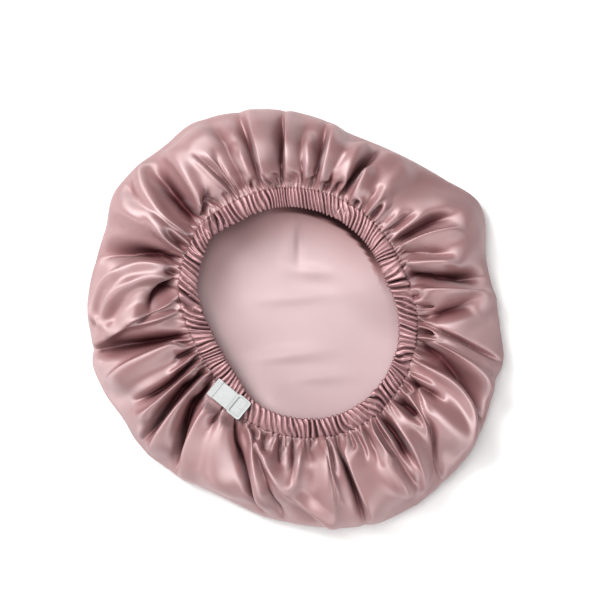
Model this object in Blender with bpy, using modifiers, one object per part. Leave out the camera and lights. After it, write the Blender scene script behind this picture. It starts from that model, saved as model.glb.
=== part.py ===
"""A satin sleep bonnet, lying crown down with its gathered opening facing up.

The cloth is gathered into a ruched band round the opening. It puffs up and out from the band, turns
down at the outline and lies flat underneath. A paler lining hangs inside it. A white elastic strap
with a plastic slider lies on the band, to take it in.

Metres, +Z up, resting on Z = 0. The origin is under the middle of the outline, and bearings are
degrees anticlockwise from +X, seen from above, round the middle of the opening.
"""

import math
from collections import namedtuple

import bmesh
import bpy
import numpy as np
from mathutils import Matrix, Vector

MM = 0.001

# Cloth.
CROWN_WALL = 1.2 * MM
LINING_WALL = 1.0 * MM
LAYER_GAP = 0.6 * MM  # between layers that lie on each other
OPENING_CENTRE = (4.6 * MM, 5.6 * MM)

# Band: a ruched casing, flat underneath, ribbed over its top and edges.
BAND_HEIGHT = 40.0 * MM  # its underside above the floor
BAND_THICKNESS = 4.4 * MM
BAND_RIBS = 96
RIB_DEPTH = 0.8 * MM
HEM_WIDTH = 6.0 * MM  # how far the crown and lining run in under the band
EDGE_GAP = 0.6 * MM  # between the band's outer edge and where the crown rises beside it

# Strap and slider, lying on the outer half of the band.
STRAP_MIDDLE = (-50.1 * MM, -60.2 * MM)
STRAP_BEARING = -39.0
STRAP_LENGTH = 31.4 * MM  # with the slider
STRAP_WIDTH = 14.2 * MM
STRAP_END_WIDTH = 15.2 * MM  # where it is folded under at its free end
STRAP_FOLD_LENGTH = 4.6 * MM
STRAP_THICKNESS = 2.2 * MM
STRAP_CLEARANCE = 0.7 * MM  # above the ribs
SLIDER_LENGTH = 12.4 * MM
SLIDER_WIDTH = 17.0 * MM
SLIDER_THICKNESS = 4.6 * MM
SLIDER_OVERHANG = 1.0 * MM  # past the strap's end
SLIDER_CORNER = 2.2 * MM
SLIDER_RIM = 1.6 * MM
SLIDER_RECESS = 0.6 * MM
SLOT_GAP = 0.3 * MM

# The outline seen from above: its peaks and dips, and the height of the cloth's crest there.
Lobe = namedtuple("Lobe", "bearing_deg reach_mm crest_mm")
OUTLINE = [
    Lobe(15, 148.0, 48),
    Lobe(31, 161.0, 46),
    Lobe(43, 150.5, 47),
    Lobe(57, 143.5, 50),
    Lobe(74, 142.5, 49),
    Lobe(84, 149.5, 51),
    Lobe(97, 157.0, 50),
    Lobe(108, 162.0, 52),
    Lobe(120, 168.0, 50),
    Lobe(129, 165.5, 48),
    Lobe(146, 170.5, 51),
    Lobe(157, 163.5, 48),
    Lobe(180, 164.5, 52),
    Lobe(188, 162.5, 49),
    Lobe(195, 165.5, 51),
    Lobe(211, 159.5, 50),
    Lobe(218, 161.0, 47),
    Lobe(231, 158.0, 46),
    Lobe(246, 154.5, 48),
    Lobe(263, 161.0, 49),
    Lobe(277, 166.5, 51),
    Lobe(290, 172.5, 52),
    Lobe(312, 170.5, 50),
    Lobe(325, 167.0, 51),
    Lobe(340, 158.5, 49),
    Lobe(346, 160.5, 52),
    Lobe(356, 153.5, 49),
]

# The band's own line: its middle's distance from the centre of the opening, its width and its rise.
Bend = namedtuple("Bend", "bearing_deg radius_mm width_mm rise_mm")
BAND_LINE = [
    Bend(2, 80.5, 16.5, 0.5),
    Bend(22, 76.8, 17.5, -0.5),
    Bend(50, 80.5, 17.0, 0.0),
    Bend(80, 85.5, 16.5, 1.0),
    Bend(104, 89.6, 16.5, 0.5),
    Bend(124, 91.6, 17.0, -0.5),
    Bend(139, 95.0, 15.0, -1.5),
    Bend(152, 92.2, 15.5, 0.0),
    Bend(168, 88.0, 16.5, 1.0),
    Bend(180, 82.0, 18.0, 0.5),
    Bend(192, 77.6, 18.0, -0.5),
    Bend(210, 74.6, 17.0, 0.0),
    Bend(226, 76.8, 17.0, 0.0),
    Bend(244, 84.4, 17.0, 0.5),
    Bend(268, 88.0, 16.5, 0.5),
    Bend(292, 90.2, 16.5, -0.5),
    Bend(318, 88.2, 16.0, 0.0),
    Bend(344, 83.8, 15.5, 1.0),
]

# The meridian of the crown from the band's edge to where it meets the floor: how far it has come
# from the band to the outline, and its height as a share of the crest's.
Station = namedtuple("Station", "out height")
CROWN_SECTION = [
    Station(0.00, 0.80),
    Station(0.12, 0.89),
    Station(0.30, 0.99),
    Station(0.50, 0.97),
    Station(0.68, 0.87),
    Station(0.83, 0.70),
    Station(0.94, 0.50),
    Station(1.00, 0.29),
    Station(0.975, 0.13),
    Station(0.90, 0.04),
    Station(0.80, 0.00),
]
LINING_SECTION = [
    Station(0.00, 0.740),
    Station(0.10, 0.700),
    Station(0.25, 0.590),
    Station(0.40, 0.400),
    Station(0.50, 0.210),
    Station(0.52, 0.100),
    Station(0.48, 0.030),
    Station(0.40, 0.000),
]

# How a fold changes along its run: its width and height as shares of the table's, and the shares of
# its run where it is fully grown and where it starts to fade.
FOLD_START_WIDTH = 0.60
FOLD_WIDENING = 0.55
FOLD_START_HEIGHT = 0.15
FOLD_GROWN = 0.30
FOLD_FADES = 0.60
# How far out the folds lie, to turn bearings into widths: at the band, and further at the outline.
FOLD_RADIUS_MM = 92
FOLD_SPREAD_MM = 62
OUTLINE_SHARE = 0.75  # of the section, where it is furthest out

# The folds that run out from the band: bearings at the band, halfway and at the end, how much of
# the section they reach down, half width, and height (a valley's is negative).
Fold = namedtuple("Fold", "band_deg midway_deg end_deg reach width_mm height_mm")
FOLDS = [
    Fold(13.0, 9.5, 5.0, 0.95, 4.0, 6.0),
    Fold(18.5, 13.5, 10.5, 0.70, 4.5, -9.0),
    Fold(28.0, 24.0, 18.5, 0.50, 5.5, 5.0),
    Fold(35.5, 35.5, 32.0, 0.60, 4.5, -5.0),
    Fold(45.0, 46.0, 46.0, 0.80, 13.0, 4.0),
    Fold(56.0, 56.0, 52.0, 0.70, 5.0, 4.0),
    Fold(65.0, 66.0, 62.0, 0.75, 4.5, 5.5),
    Fold(71.0, 69.0, 64.5, 0.70, 4.5, -7.0),
    Fold(79.0, 80.0, 79.0, 0.80, 4.5, 5.5),
    Fold(84.0, 82.5, 83.0, 0.70, 4.0, -5.5),
    Fold(90.5, 91.5, 91.0, 0.85, 5.0, 6.0),
    Fold(97.5, 97.0, 94.0, 0.80, 4.0, -7.5),
    Fold(104.0, 106.0, 104.5, 0.85, 5.0, 6.5),
    Fold(108.0, 109.5, 107.5, 0.80, 4.0, -7.0),
    Fold(113.0, 117.0, 120.0, 0.85, 6.0, 5.0),
    Fold(120.0, 121.5, 124.5, 0.60, 4.0, -4.5),
    Fold(130.0, 131.0, 133.0, 0.85, 5.5, 6.0),
    Fold(138.0, 138.0, 136.0, 0.80, 6.5, -9.0),
    Fold(141.5, 143.5, 140.0, 0.80, 4.5, 6.0),
    Fold(153.0, 151.0, 148.5, 0.90, 7.0, 7.5),
    Fold(157.5, 159.0, 162.0, 0.75, 5.5, -10.5),
    Fold(161.5, 165.0, 177.0, 0.70, 5.0, 7.0),
    Fold(171.0, 176.0, 179.0, 0.45, 7.5, -9.5),
    Fold(176.5, 186.0, 184.0, 0.75, 4.5, 7.5),
    Fold(188.5, 190.5, 190.0, 0.85, 4.5, -11.0),
    Fold(192.5, 194.0, 200.0, 0.90, 5.5, 7.5),
    Fold(204.0, 207.0, 209.5, 0.60, 4.5, -9.5),
    Fold(207.0, 210.5, 212.0, 0.75, 4.5, 7.0),
    Fold(211.0, 214.0, 219.0, 0.75, 4.5, -10.0),
    Fold(214.5, 217.5, 221.0, 0.90, 4.5, 7.0),
    Fold(218.0, 221.5, 230.0, 0.75, 5.0, -9.5),
    Fold(222.0, 226.0, 232.0, 0.85, 4.5, 7.0),
    Fold(237.0, 243.0, 250.0, 0.65, 8.5, 7.0),
    Fold(241.5, 247.5, 255.0, 0.65, 4.5, -8.0),
    Fold(245.5, 258.0, 277.0, 0.85, 5.0, 7.0),
    Fold(267.0, 267.0, 267.0, 0.45, 5.0, -5.0),
    Fold(279.5, 280.0, 278.5, 0.90, 5.5, 6.5),
    Fold(285.0, 286.0, 287.0, 0.80, 4.0, -8.5),
    Fold(288.0, 289.0, 291.0, 0.90, 6.0, 5.5),
    Fold(300.0, 299.0, 298.0, 0.45, 4.5, -6.0),
    Fold(302.5, 301.5, 301.5, 0.80, 5.0, 6.0),
    Fold(308.5, 308.5, 305.0, 0.65, 4.5, -8.5),
    Fold(312.0, 311.0, 306.0, 0.80, 4.5, 6.5),
    Fold(316.5, 318.0, 318.0, 0.40, 5.5, -7.5),
    Fold(324.0, 320.5, 312.0, 0.75, 4.0, -4.5),
    Fold(326.0, 328.5, 329.0, 0.42, 5.5, -7.5),
    Fold(334.0, 337.0, 323.0, 0.80, 5.5, 7.0),
    Fold(344.0, 341.0, 331.0, 0.75, 6.5, -10.0),
    Fold(348.5, 346.5, 338.5, 0.85, 5.5, 7.5),
    Fold(354.0, 350.5, 346.0, 0.85, 4.0, -5.0),
    Fold(362.0, 361.0, 357.0, 0.65, 7.0, -8.0),
]

# Soft creases that show in the lining's floor: middle, bearing, half length, half width, height.
Crease = namedtuple("Crease", "x_mm y_mm bearing_deg length_mm width_mm height_mm")
LINING_CREASES = [
    Crease(8.0, 33.0, -8.0, 22.0, 6.0, 2.2),
    Crease(-2.0, 52.0, 84.0, 20.0, 5.0, 2.6),
    Crease(-12.0, -32.0, 5.0, 30.0, 5.0, 2.2),
    Crease(22.0, -47.0, -4.0, 28.0, 5.0, 1.8),
    Crease(52.0, 20.0, -52.0, 24.0, 7.0, 1.8),
]

# The band's section, as shares of its half width and thickness, and how a groove between two ribs
# moves each corner: in from the side or down from the top.
Corner = namedtuple("Corner", "across up groove_in groove_down")
BAND_SECTION = [
    Corner(-0.86, 0.00, 0, 0),
    Corner(0.90, 0.00, 0, 0),
    Corner(1.00, 0.35, 1, 0),
    Corner(0.82, 0.90, 0, 1),
    Corner(0.00, 1.00, 0, 1),
    Corner(-0.80, 0.85, 0, 1),
    Corner(-1.00, 0.35, 1, 0),
]

# How far beside the strap the cloth is pressed flat, and where it has risen to its own height.
PRESSED_MARGIN = 1.5 * MM
PRESSED_END = 16 * MM

# Mesh density. Rows are at shares of the section: -1 at the hem, 0 at the band's edge, 1 where the
# cloth meets the floor and 2 at the middle of the floor.
CROWN_COLUMNS = 320
CROWN_ROWS = [-1, -0.3, 0, *np.linspace(0, 1, 37)[1:], 1.25, 1.6, 2]
CROWN_KEPT = 0.125  # share of the triangles that are kept when the sheet is thinned out
LINING_COLUMNS = 96
LINING_ROWS = [-1, 0, *np.linspace(0, 1, 10)[1:], *np.linspace(1, 2, 9)[1:]]
LINING_KEPT = 0.24


def named(row_table, column):
    return np.array([getattr(row, column) for row in row_table], float)


def around(row_table, column, bearing):
    """A column of a table at any bearing: a smooth closed curve through every row."""
    at, value = named(row_table, "bearing_deg"), named(row_table, column)
    at = np.concatenate([at[-2:] - 360, at, at[:2] + 360])
    value = np.concatenate([value[-2:], value, value[:2]])
    slope = (value[2:] - value[:-2]) / (at[2:] - at[:-2])
    at, value = at[1:-1], value[1:-1]
    bearing = at[0] + (np.asarray(bearing, float) - at[0]) % 360
    i = np.clip(np.searchsorted(at, bearing, side="right") - 1, 0, len(at) - 2)
    step = at[i + 1] - at[i]
    t = (bearing - at[i]) / step
    return (
        (1 + 2 * t) * (1 - t) ** 2 * value[i]
        + t * (1 - t) ** 2 * step * slope[i]
        + t * t * (3 - 2 * t) * value[i + 1]
        - t * t * (1 - t) * step * slope[i + 1]
    )


def smooth_step(low, high, value):
    t = np.clip((value - low) / (high - low), 0, 1)
    return t * t * (3 - 2 * t)


def along_section(section, share):
    """(out, height) at a share of the section's length, on a smooth curve through its stations."""
    points = np.array(section, float)
    length = np.concatenate([[0], np.cumsum(np.hypot(*np.diff(points, axis=0).T))])
    length /= length[-1]
    slope = np.gradient(points, length, axis=0)
    share = np.clip(share, 0, 1)
    i = np.clip(np.searchsorted(length, share, side="right") - 1, 0, len(length) - 2)
    step = (length[i + 1] - length[i])[..., None]
    t = ((share - length[i])[..., None]) / step
    found = (
        (1 + 2 * t) * (1 - t) ** 2 * points[i]
        + t * (1 - t) ** 2 * step * slope[i]
        + t * t * (3 - 2 * t) * points[i + 1]
        - t * t * (1 - t) * step * slope[i + 1]
    )
    return found[..., 0], found[..., 1]


def band_middle(bearing):
    return around(BAND_LINE, "radius_mm", bearing) * MM


def band_half_width(bearing):
    return around(BAND_LINE, "width_mm", bearing) * MM / 2


def band_underside(bearing):
    return BAND_HEIGHT + around(BAND_LINE, "rise_mm", bearing) * MM


def fold_relief(bearing, share):
    """How far the folds lift the crown off its plain section."""
    lift = np.zeros(np.broadcast(bearing, share).shape)
    for fold in FOLDS:
        run = share / fold.reach
        bow = 2 * (fold.band_deg + fold.end_deg - 2 * fold.midway_deg)
        centre = fold.band_deg + (fold.end_deg - fold.band_deg - bow) * run + bow * run**2
        off_deg = (bearing - centre + 180) % 360 - 180
        radius_mm = FOLD_RADIUS_MM + FOLD_SPREAD_MM * np.clip(share / OUTLINE_SHARE, 0, 1)
        off_mm = np.radians(off_deg) * radius_mm
        width = fold.width_mm * (FOLD_START_WIDTH + FOLD_WIDENING * run)
        swell = FOLD_START_HEIGHT + (1 - FOLD_START_HEIGHT) * smooth_step(0, FOLD_GROWN, run)
        fade = 1 - smooth_step(FOLD_FADES, 1.0, run)
        lift += fold.height_mm * MM * swell * fade * np.exp(-((off_mm / width) ** 2))
    return lift


def at_bearing(bearing, radius, height):
    """Points at these bearings round the middle of the opening."""
    turn = np.radians(bearing)
    x = OPENING_CENTRE[0] + radius * np.cos(turn)
    y = OPENING_CENTRE[1] + radius * np.sin(turn)
    return np.stack([x, y, np.broadcast_to(height, x.shape)], axis=-1)


def under_strap(points):
    """1 under the strap and slider, falling to 0 beside them."""
    turn = math.radians(STRAP_BEARING)
    x, y = points[..., 0] - STRAP_MIDDLE[0], points[..., 1] - STRAP_MIDDLE[1]
    along = np.abs(x * math.cos(turn) + y * math.sin(turn)) - STRAP_LENGTH / 2
    across = np.abs(y * math.cos(turn) - x * math.sin(turn)) - SLIDER_WIDTH / 2
    outside = np.hypot(np.maximum(along, 0), np.maximum(across, 0))
    return 1 - smooth_step(PRESSED_MARGIN, PRESSED_END, outside)


def cloth_on_section(bearing, share, section, floor, hem_height, relief):
    """A bag of cloth's middle surface. share runs from -1 at its hem under the band to 0 at the
    band's edge, 1 where it meets the floor and 2 at the middle of the floor."""
    edge = band_middle(bearing) + band_half_width(bearing) + EDGE_GAP
    outline = around(OUTLINE, "reach_mm", bearing) * MM
    crest = around(OUTLINE, "crest_mm", bearing) * MM
    out, height = along_section(section, share)
    nudge = 1e-3
    out_next, height_next = along_section(section, np.clip(share, 0, 1 - nudge) + nudge)
    out_here, height_here = along_section(section, np.clip(share, 0, 1 - nudge))
    run, rise = (out_next - out_here) * (outline - edge), (height_next - height_here) * crest
    steep = np.hypot(run, rise)
    radius = edge + out * (outline - edge)
    body = floor + height * (crest - floor)
    body = hem_height + (body - hem_height) * smooth_step(0.0, 0.10, share)
    lift = relief(bearing, np.clip(share, 0, 1)) * smooth_step(0.0, 0.04, share)
    lift = np.where(share < 1, lift, 0)
    radius = radius + np.minimum(share, 0) * HEM_WIDTH
    radius = radius * (1 - np.clip(share - 1, 0, 1))
    radius = radius - lift * rise / steep
    height = np.where(share > 0, body, hem_height) + lift * run / steep
    return at_bearing(bearing, radius, np.maximum(height, floor))


def crown_surface(bearing, share):
    hem = band_underside(bearing) - LAYER_GAP - CROWN_WALL / 2
    points = cloth_on_section(bearing, share, CROWN_SECTION, CROWN_WALL / 2, hem, fold_relief)
    # The cloth is pressed down where the strap lies on it.
    pressed = np.minimum(points[..., 2], hem)
    points[..., 2] += (pressed - points[..., 2]) * under_strap(points) * (share < 0.5)
    return points


def crease_relief(points):
    """Soft creases in the lining where it lies on the floor."""
    lift = np.zeros(points.shape[:-1])
    for crease in LINING_CREASES:
        turn = math.radians(crease.bearing_deg)
        x, y = points[..., 0] / MM - crease.x_mm, points[..., 1] / MM - crease.y_mm
        along = (x * math.cos(turn) + y * math.sin(turn)) / crease.length_mm
        across = (y * math.cos(turn) - x * math.sin(turn)) / crease.width_mm
        lift += crease.height_mm * MM * np.exp(-(along**2) - across**2)
    return lift


def no_relief(bearing, share):
    return 0 * share


def lining_surface(bearing, share):
    floor = CROWN_WALL + LAYER_GAP + LINING_WALL / 2
    hem = band_underside(bearing) - 2 * LAYER_GAP - CROWN_WALL - LINING_WALL / 2
    points = cloth_on_section(bearing, share, LINING_SECTION, floor, hem, no_relief)
    points[..., 2] += crease_relief(points) * smooth_step(0.9, 1.15, share)
    return points


def rolled_grid(name, columns, rows, surface):
    """A flat grid rolled round the opening: its columns become bearings, and its rows go where
    surface says. Its seam and its middle are closed."""
    bm = bmesh.new()
    bmesh.ops.create_grid(bm, x_segments=columns, y_segments=len(rows) - 1, size=0.5)
    bm.verts.ensure_lookup_table()
    flat = np.array([vert.co for vert in bm.verts])
    bearing = (flat[:, 0] + 0.5) * 360
    share = np.array(rows)[np.rint((flat[:, 1] + 0.5) * (len(rows) - 1)).astype(int)]
    for vert, point in zip(bm.verts, surface(bearing, share)):
        vert.co = point
    bmesh.ops.remove_doubles(bm, verts=bm.verts, dist=0.01 * MM)
    bmesh.ops.recalc_face_normals(bm, faces=bm.faces)
    mesh = bpy.data.meshes.new(name)
    bm.to_mesh(mesh)
    bm.free()
    mesh.shade_smooth()
    return mesh


def material(name, colour, roughness, metallic=0.0):
    made = bpy.data.materials.new(name)
    made.use_nodes = True
    shader = made.node_tree.nodes["Principled BSDF"]
    shader.inputs["Base Color"].default_value = (*colour, 1)
    shader.inputs["Roughness"].default_value = roughness
    shader.inputs["Metallic"].default_value = metallic
    return made


def add_object(name, mesh, finish, collection):
    obj = bpy.data.objects.new(name, mesh)
    obj.data.materials.append(finish)
    collection.objects.link(obj)
    return obj


def cloth_shell(obj, wall, kept=1.0):
    """Thins out the sheet's triangles where it is flat, and gives it its wall."""
    if kept < 1:
        thin = obj.modifiers.new("Thin out", "DECIMATE")
        thin.ratio = kept
    shell = obj.modifiers.new("Wall", "SOLIDIFY")
    shell.thickness = wall
    shell.offset = 0


def crown(collection, satin):
    mesh = rolled_grid("crown", CROWN_COLUMNS, CROWN_ROWS, crown_surface)
    cloth_shell(add_object("crown", mesh, satin, collection), CROWN_WALL, CROWN_KEPT)


def lining(collection, satin):
    mesh = rolled_grid("lining", LINING_COLUMNS, LINING_ROWS, lining_surface)
    cloth_shell(add_object("lining", mesh, satin, collection), LINING_WALL, LINING_KEPT)


def band_surface(bearing, corner):
    """The band's skin. corner runs round its section, and every other bearing is in a groove."""
    groove = np.rint(bearing * BAND_RIBS * 2 / 360).astype(int) % 2 * RIB_DEPTH
    section = np.array(BAND_SECTION)
    across, up, groove_in, groove_down = section[np.rint(corner).astype(int) % len(section)].T
    radius = band_middle(bearing) + across * (band_half_width(bearing) - groove * groove_in)
    height = band_underside(bearing) + up * BAND_THICKNESS - groove * groove_down
    return at_bearing(bearing, radius, height)


def band(collection, satin):
    mesh = rolled_grid("band", 2 * BAND_RIBS, range(len(BAND_SECTION) + 1), band_surface)
    add_object("band", mesh, satin, collection)


def strap_frame():
    """Where the strap lies: on top of the band's ribs, across the outer half of the band."""
    bearing = math.degrees(
        math.atan2(STRAP_MIDDLE[1] - OPENING_CENTRE[1], STRAP_MIDDLE[0] - OPENING_CENTRE[0])
    )
    height = float(band_underside(bearing)) + BAND_THICKNESS + STRAP_CLEARANCE
    middle = Vector((*STRAP_MIDDLE, height + SLIDER_THICKNESS / 2))
    return Matrix.Translation(middle) @ Matrix.Rotation(math.radians(STRAP_BEARING), 4, "Z")


def block(name, size, finish, collection, bevel=None):
    """A box about its own middle, its scale already in its mesh, with rounded upright corners."""
    bm = bmesh.new()
    bmesh.ops.create_cube(bm, size=1)
    bmesh.ops.scale(bm, vec=size, verts=bm.verts)
    if bevel:
        upright = [e for e in bm.edges if abs(e.verts[0].co.z - e.verts[1].co.z) > size[2] / 2]
        bmesh.ops.bevel(bm, geom=upright, offset=bevel, segments=3, profile=0.5, affect="EDGES")
    mesh = bpy.data.meshes.new(name)
    bm.to_mesh(mesh)
    bm.free()
    return add_object(name, mesh, finish, collection)


def strap(collection, elastic):
    """A flat doubled elastic. Its folded end lies on the band, and it climbs to the slider's slot."""
    half = STRAP_LENGTH / 2
    slot_starts = half - SLIDER_LENGTH
    drop = (SLIDER_THICKNESS - STRAP_THICKNESS) / 2
    mesh = bpy.data.meshes.new("strap")
    bm = bmesh.new()
    bmesh.ops.create_grid(bm, x_segments=14, y_segments=2, size=0.5)
    for vert in bm.verts:
        x = (vert.co.x + 0.5) * (STRAP_LENGTH - SLIDER_OVERHANG) - half
        fold = 1 - smooth_step(STRAP_FOLD_LENGTH - 1 * MM, STRAP_FOLD_LENGTH, x + half)
        width = STRAP_WIDTH + (STRAP_END_WIDTH - STRAP_WIDTH) * fold
        climb = smooth_step(-half + STRAP_FOLD_LENGTH, slot_starts - 1 * MM, x)
        vert.co = (x, vert.co.y * width, -drop * (1 - climb))
    bm.to_mesh(mesh)
    bm.free()
    obj = add_object("strap", mesh, elastic, collection)
    obj.matrix_world = strap_frame()
    wall = obj.modifiers.new("Wall", "SOLIDIFY")
    wall.thickness = STRAP_THICKNESS
    wall.offset = 0


def slider(collection, cutters, plastic):
    """A rounded plastic slide with a raised rim, and a slot that the strap runs through."""
    size = (SLIDER_LENGTH, SLIDER_WIDTH, SLIDER_THICKNESS)
    body = block("slider", size, plastic, collection, SLIDER_CORNER)
    place = strap_frame() @ Matrix.Translation(((STRAP_LENGTH - SLIDER_LENGTH) / 2, 0, 0))
    body.matrix_world = place
    slot_size = (2 * SLIDER_LENGTH, STRAP_WIDTH + 2 * SLOT_GAP, STRAP_THICKNESS + 2 * SLOT_GAP)
    slot = block("slot_cutter", slot_size, plastic, cutters)
    recess_size = (SLIDER_LENGTH - 2 * SLIDER_RIM, SLIDER_WIDTH - 2 * SLIDER_RIM, 2 * SLIDER_RECESS)
    recess = block("recess_cutter", recess_size, plastic, cutters, SLIDER_CORNER / 2)
    slot.matrix_world = place
    recess.matrix_world = place @ Matrix.Translation((0, 0, SLIDER_THICKNESS / 2))
    for cutter in (slot, recess):
        cutter.hide_render = True
        cutter.display_type = "WIRE"
        cut = body.modifiers.new(cutter.name, "BOOLEAN")
        cut.operation = "DIFFERENCE"
        cut.object = cutter


def main():
    for obj in list(bpy.data.objects):
        bpy.data.objects.remove(obj, do_unlink=True)
    parts = bpy.data.collections.new("sleep_bonnet")
    cutters = bpy.data.collections.new("cutters")
    for collection in (parts, cutters):
        bpy.context.scene.collection.children.link(collection)
    satin = material("rose satin", (0.43, 0.25, 0.26), 0.38)
    pale_satin = material("pale rose lining", (0.66, 0.50, 0.51), 0.55)
    elastic = material("white elastic", (0.76, 0.77, 0.76), 0.80)
    plastic = material("white plastic", (0.80, 0.80, 0.79), 0.35)
    crown(parts, satin)
    lining(parts, pale_satin)
    band(parts, satin)
    strap(parts, elastic)
    slider(parts, cutters, plastic)


main()
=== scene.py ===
"""The looks of a satin sleep bonnet that lies crown down, with its gathered opening facing up.

Metres, +Z up. Bearings are degrees anticlockwise from +X, seen from above, round the middle of the
opening. The tables give the bonnet's main sizes, and the sheets are shaped by functions of them.
"""

import math
from collections import namedtuple

import bmesh
import bpy
import numpy as np
from mathutils import Matrix, Vector

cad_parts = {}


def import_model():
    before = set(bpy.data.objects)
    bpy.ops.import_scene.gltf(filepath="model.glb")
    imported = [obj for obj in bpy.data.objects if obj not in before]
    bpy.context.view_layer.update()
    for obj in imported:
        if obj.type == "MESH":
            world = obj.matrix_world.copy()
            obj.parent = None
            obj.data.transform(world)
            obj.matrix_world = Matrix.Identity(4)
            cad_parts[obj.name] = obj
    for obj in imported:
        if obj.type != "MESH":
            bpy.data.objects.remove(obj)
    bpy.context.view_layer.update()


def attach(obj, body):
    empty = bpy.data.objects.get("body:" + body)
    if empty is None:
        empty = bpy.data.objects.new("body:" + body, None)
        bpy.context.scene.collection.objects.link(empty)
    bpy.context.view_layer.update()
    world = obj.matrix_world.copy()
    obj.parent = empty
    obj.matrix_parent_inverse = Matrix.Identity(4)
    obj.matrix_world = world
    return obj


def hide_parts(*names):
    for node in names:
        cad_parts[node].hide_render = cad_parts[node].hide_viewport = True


MM = 0.001

OPENING_CENTRE = (4.6 * MM, 5.6 * MM)
LAYER_GAP = 0.6 * MM  # between layers that lie on each other
# The solids' walls: the sheets lie along the middle of them.
CROWN_WALL = 1.2 * MM
LINING_WALL = 1.0 * MM

BAND_HEIGHT = 40.0 * MM  # its underside above the floor
BAND_THICKNESS = 4.4 * MM
HEM_WIDTH = 6.0 * MM  # how far the crown and lining run in under the band
SEWN_UNDER = 1.0 * MM  # how far the cloth's seams lie in under the outer edge of the band
SEAM_RISE = 3.8 * MM  # from the band's underside up to the crown's seam

STRAP_MIDDLE = (-50.1 * MM, -60.2 * MM)
STRAP_BEARING = -39.0
STRAP_LENGTH = 31.4 * MM  # with the slider
STRAP_WIDTH = 14.2 * MM
STRAP_END_WIDTH = 15.2 * MM
STRAP_FOLD_LENGTH = 4.6 * MM
STRAP_THICKNESS = 2.2 * MM
STRAP_CLEARANCE = 0.7 * MM  # above the ribs
STRAP_EDGE = 0.35 * MM
STRAP_LEVELS_OUT = 1.0 * MM  # before the slider
PRESSED_BY_STRAP = (1.0 * MM, 10 * MM)  # the crown beside the strap: all of it, and none
SLIDER_LENGTH = 12.4 * MM
SLIDER_WIDTH = 17.0 * MM
SLIDER_THICKNESS = 4.6 * MM
SLIDER_OVERHANG = 1.0 * MM  # past the strap's end
SLOT_GAP = 0.3 * MM
SLIDER_CORNER = 2.2 * MM
SLIDER_EDGE = 0.35 * MM
SLIDER_RIM = 1.6 * MM
SLIDER_RECESS = 1.0 * MM
MARK_RADIUS = 1.9 * MM
MARK_RING = 0.7 * MM
MARK_HEIGHT = 0.35 * MM
MARK_OFFSET = 1.2 * MM
RIB_COUNT = 9
POINTS_A_RIB = 6
RIB_HEIGHT = 0.22 * MM
THREAD_HEIGHT = 0.05 * MM
THREAD_PITCH = 0.9 * MM
STRAP_COLUMNS = 80
END_FOLD_RISE = 1.35 * MM  # the strap's folded end, over its middle
END_FOLD_THICKNESS = 0.7 * MM
END_FOLD_PAST = 0.2 * MM  # how far it stands out past the strap's end

# The photograph's frame.
IMAGE_WIDTH = 600  # pixels
MM_PER_PIXEL = 0.77
FRAME_CENTRE = (3.85 * MM, 18.5 * MM)
CAMERA_HEIGHT = 2.6
SENSOR_WIDTH_MM = 36
IN_SCALE_HEIGHT = 15 * MM  # the outline's height, where the scale is the photograph's

# The bonnet's outline, and how high the crown's section stands there.
Lobe = namedtuple("Lobe", "bearing_deg reach_mm crest_mm")
OUTLINE = [
    Lobe(15, 148, 48),
    Lobe(31, 161, 46),
    Lobe(43, 150.5, 47),
    Lobe(57, 143.5, 50),
    Lobe(74, 142.5, 49),
    Lobe(84, 149.5, 51),
    Lobe(97, 157, 50),
    Lobe(108, 162, 52),
    Lobe(120, 168, 50),
    Lobe(129, 165.5, 48),
    Lobe(146, 170.5, 51),
    Lobe(157, 163.5, 48),
    Lobe(180, 164.5, 52),
    Lobe(188, 162.5, 49),
    Lobe(195, 165.5, 51),
    Lobe(211, 159.5, 50),
    Lobe(218, 161, 47),
    Lobe(231, 158, 46),
    Lobe(246, 154.5, 48),
    Lobe(263, 161, 49),
    Lobe(277, 166.5, 51),
    Lobe(290, 172.5, 52),
    Lobe(312, 170.5, 50),
    Lobe(325, 167, 51),
    Lobe(340, 158.5, 49),
    Lobe(346, 160.5, 52),
    Lobe(356, 153.5, 49),
]

# The band: its middle line, how wide it lies, and how far it rises above its height.
Bend = namedtuple("Bend", "bearing_deg radius_mm width_mm rise_mm")
BAND_LINE = [
    Bend(2, 80.5, 16.5, 0.5),
    Bend(22, 76.8, 17.5, -0.5),
    Bend(50, 80.5, 17, 0),
    Bend(80, 85.5, 16.5, 1),
    Bend(104, 89.6, 16.5, 0.5),
    Bend(124, 91.6, 17, -0.5),
    Bend(139, 95, 15, -1.5),
    Bend(152, 92.2, 15.5, 0),
    Bend(168, 88, 16.5, 1),
    Bend(180, 82, 18, 0.5),
    Bend(192, 77.6, 18, -0.5),
    Bend(210, 74.6, 17, 0),
    Bend(226, 76.8, 17, 0),
    Bend(244, 84.4, 17, 0.5),
    Bend(268, 88, 16.5, 0.5),
    Bend(292, 90.2, 16.5, -0.5),
    Bend(318, 88.2, 16, 0),
    Bend(344, 83.8, 15.5, 1),
]

# The sections of the two bags from the band to the floor: how far out from the band towards the
# outline, and how high, as a share of the crest.
Station = namedtuple("Station", "out height")
CROWN_SECTION = [
    Station(0.00, 0.80),
    Station(0.12, 0.89),
    Station(0.30, 0.99),
    Station(0.50, 0.97),
    Station(0.68, 0.87),
    Station(0.83, 0.70),
    Station(0.94, 0.50),
    Station(1.00, 0.29),
    Station(0.975, 0.13),
    Station(0.90, 0.04),
    Station(0.80, 0.00),
]
LINING_SECTION = [
    Station(0.00, 0.740),
    Station(0.10, 0.700),
    Station(0.25, 0.590),
    Station(0.40, 0.400),
    Station(0.50, 0.210),
    Station(0.52, 0.100),
    Station(0.48, 0.030),
    Station(0.40, 0.000),
]

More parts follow.
